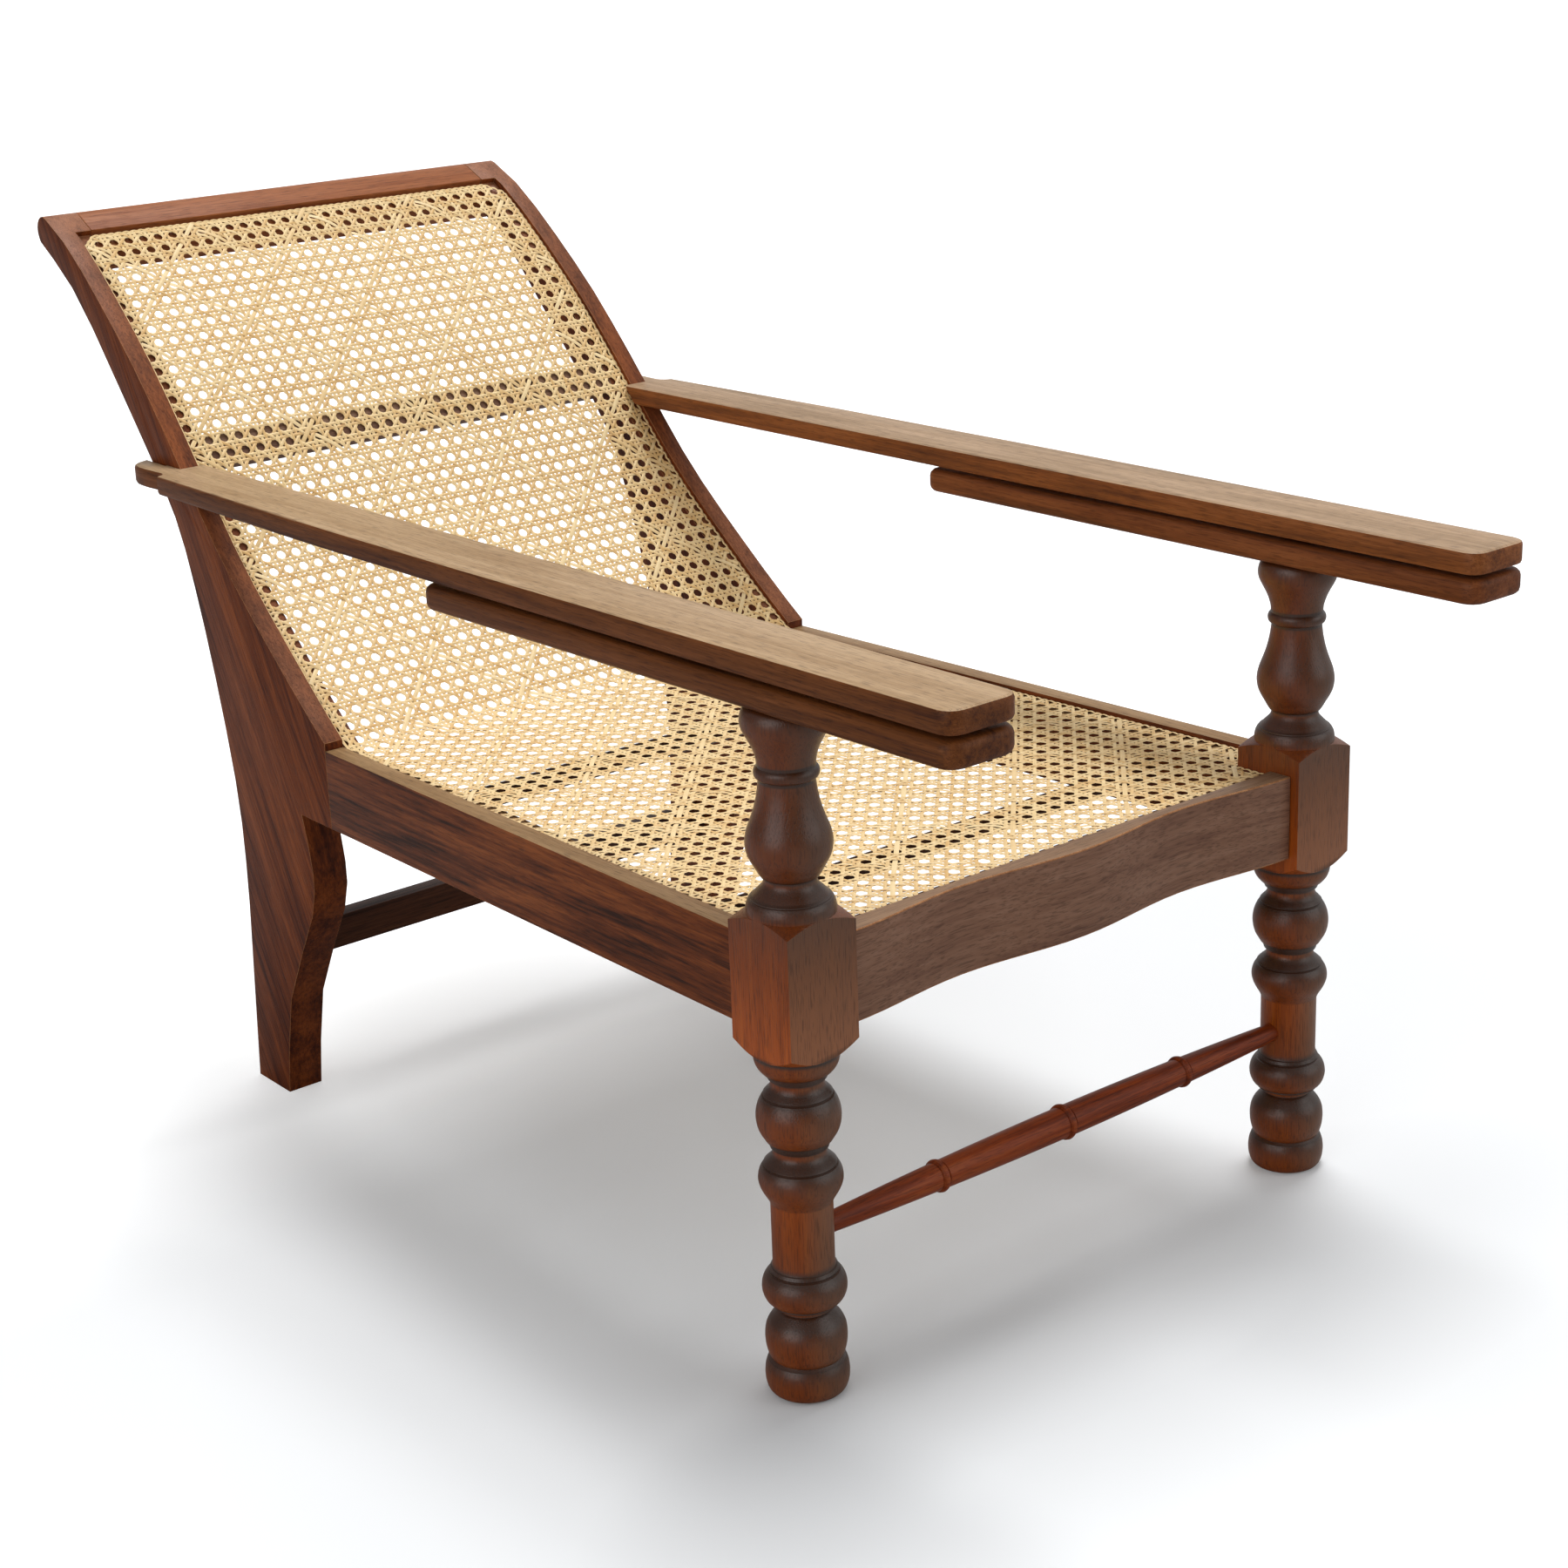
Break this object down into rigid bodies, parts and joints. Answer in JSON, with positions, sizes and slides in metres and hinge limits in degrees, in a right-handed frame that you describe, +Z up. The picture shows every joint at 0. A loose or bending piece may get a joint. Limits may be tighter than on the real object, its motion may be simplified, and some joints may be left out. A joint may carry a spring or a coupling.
{
  "type": "planters chair",
  "caption": "Reclining caned lounge chair with long flat arms over swing-out leg rests, turned front legs and swept back planks.",
  "frame": {"origin": "on the floor, under the middle of the bounding box", "axes": "+X toward the right side as seen from the front, -Y toward the front, +Z up"},
  "size_m": [0.671, 1.4088, 0.86],
  "materials": {
    "frame_wood": "dark stained hardwood, satin wax",
    "arm_boards": "dark stained hardwood, worn satin",
    "cane": "natural woven cane, semi-gloss"
  },
  "bodies": {
    "frame": {"front_leg_left": "frame_wood", "front_leg_right": "frame_wood", "side_rail_left": "frame_wood", "side_rail_right": "frame_wood", "back_plank_left": "frame_wood", "back_plank_right": "frame_wood", "front_rail": "frame_wood", "top_rail": "frame_wood", "back_rail": "frame_wood", "rear_stretcher": "frame_wood", "front_stretcher": "frame_wood", "seat_rod_front": "frame_wood", "seat_rod_rear": "frame_wood", "arm_left": "arm_boards", "arm_right": "arm_boards", "arm_dowel_left": "frame_wood", "arm_dowel_right": "frame_wood", "cane_seat": "cane", "cane_back": "cane", "cane_binding_left": "cane", "cane_binding_right": "cane", "cane_binding_front": "cane", "cane_binding_top": "cane"},
    "rest_left": {"leg_rest_left": "arm_boards"},
    "rest_right": {"leg_rest_right": "arm_boards"}
  },
  "joints": [
    {"name": "rest_swing_left", "type": "hinge", "parent": "frame", "child": "rest_left", "pos_m": [-0.3, -0.4854, 0.6], "axis": [0, 0, 1], "range_deg": [0, 180]},
    {"name": "rest_swing_right", "type": "hinge", "parent": "frame", "child": "rest_right", "pos_m": [0.3, -0.4854, 0.6], "axis": [0, 0, -1], "range_deg": [0, 180]}
  ]
}
